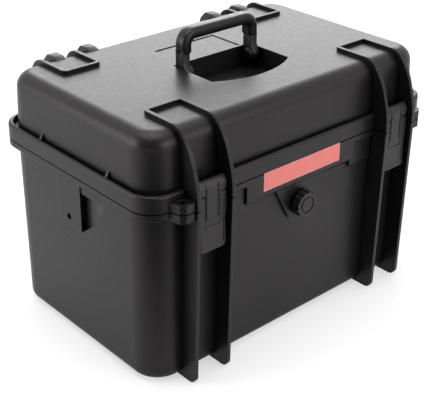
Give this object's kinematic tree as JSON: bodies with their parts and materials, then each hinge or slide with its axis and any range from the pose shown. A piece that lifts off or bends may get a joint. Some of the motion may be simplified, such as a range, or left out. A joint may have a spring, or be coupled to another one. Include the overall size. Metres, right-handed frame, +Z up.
{
  "type": "microphone case",
  "caption": "Moulded plastic case with a hinged lid, paired latches, folding top handle, pressure valve and foam compartments for standing microphones.",
  "frame": {"origin": "centre of the footprint, on the ground", "axes": "+X across the width to the right, +Y towards the hinges at the back, +Z up; the latches face -Y"},
  "size_m": [0.4, 0.286, 0.3105],
  "materials": {
    "case_plastic": "fine moulded grain",
    "latch_plastic": "smooth satin moulding",
    "handle_plastic": "fine moulded grain",
    "grip_rubber": "smooth satin",
    "label_red": "printed, satin, bare",
    "valve_plastic": "satin moulding",
    "seal_rubber": "matt",
    "pin_steel": "bright drawn",
    "foam": "open-cell foam"
  },
  "bodies": {
    "base": {"base_shell": "case_plastic", "label_plate": "label_red", "hinge_pins": "pin_steel", "latch_swing_pins": "pin_steel", "valve_body": "valve_plastic", "valve_oring": "seal_rubber", "valve_nut": "valve_plastic", "foam_floor": "foam", "foam_lining_front": "foam", "foam_lining_rear": "foam", "foam_lining_left": "foam", "foam_lining_right": "foam", "foam_dividers_long": "foam", "foam_dividers_cross": "foam"},
    "lid": {"lid_shell": "case_plastic", "lid_gasket": "seal_rubber", "handle_pins": "pin_steel", "lid_foam_pad": "foam", "lid_foam_block_left": "foam", "lid_foam_block_right": "foam"},
    "handle": {"handle_bail": "handle_plastic", "handle_grip": "grip_rubber"},
    "valve_knob": {"valve_knob": "valve_plastic"},
    "latch_left": {"latch_link_left": "latch_plastic", "lever_pin_left": "pin_steel"},
    "lever_left": {"latch_lever_left": "latch_plastic"},
    "latch_right": {"latch_link_right": "latch_plastic", "lever_pin_right": "pin_steel"},
    "lever_right": {"latch_lever_right": "latch_plastic"}
  },
  "joints": [
    {"name": "lid_hinge", "type": "hinge", "parent": "base", "child": "lid", "pos_m": [0, 0.135, 0.197], "axis": [-1, 0, 0], "range_deg": [0, 95]},
    {"name": "handle_fold", "type": "hinge", "parent": "lid", "child": "handle", "pos_m": [0, 0.002, 0.264], "axis": [1, 0, 0], "range_deg": [0, 90]},
    {"name": "valve_knob_turn", "type": "hinge", "parent": "base", "child": "valve_knob", "pos_m": [0, -0.13, 0.1465], "axis": [0, -1, 0], "range_deg": [0, 270]},
    {"name": "latch_left_swing", "type": "hinge", "parent": "base", "child": "latch_left", "pos_m": [-0.1325, -0.129, 0.153], "axis": [1, 0, 0], "range_deg": [-1.8, 50]},
    {"name": "latch_left_lever", "type": "hinge", "parent": "latch_left", "child": "lever_left", "pos_m": [-0.1325, -0.133, 0.202], "axis": [-1, 0, 0], "range_deg": [0, 80]},
    {"name": "latch_right_swing", "type": "hinge", "parent": "base", "child": "latch_right", "pos_m": [0.1325, -0.129, 0.153], "axis": [1, 0, 0], "range_deg": [-1.8, 50]},
    {"name": "latch_right_lever", "type": "hinge", "parent": "latch_right", "child": "lever_right", "pos_m": [0.1325, -0.133, 0.202], "axis": [-1, 0, 0], "range_deg": [0, 80]}
  ]
}
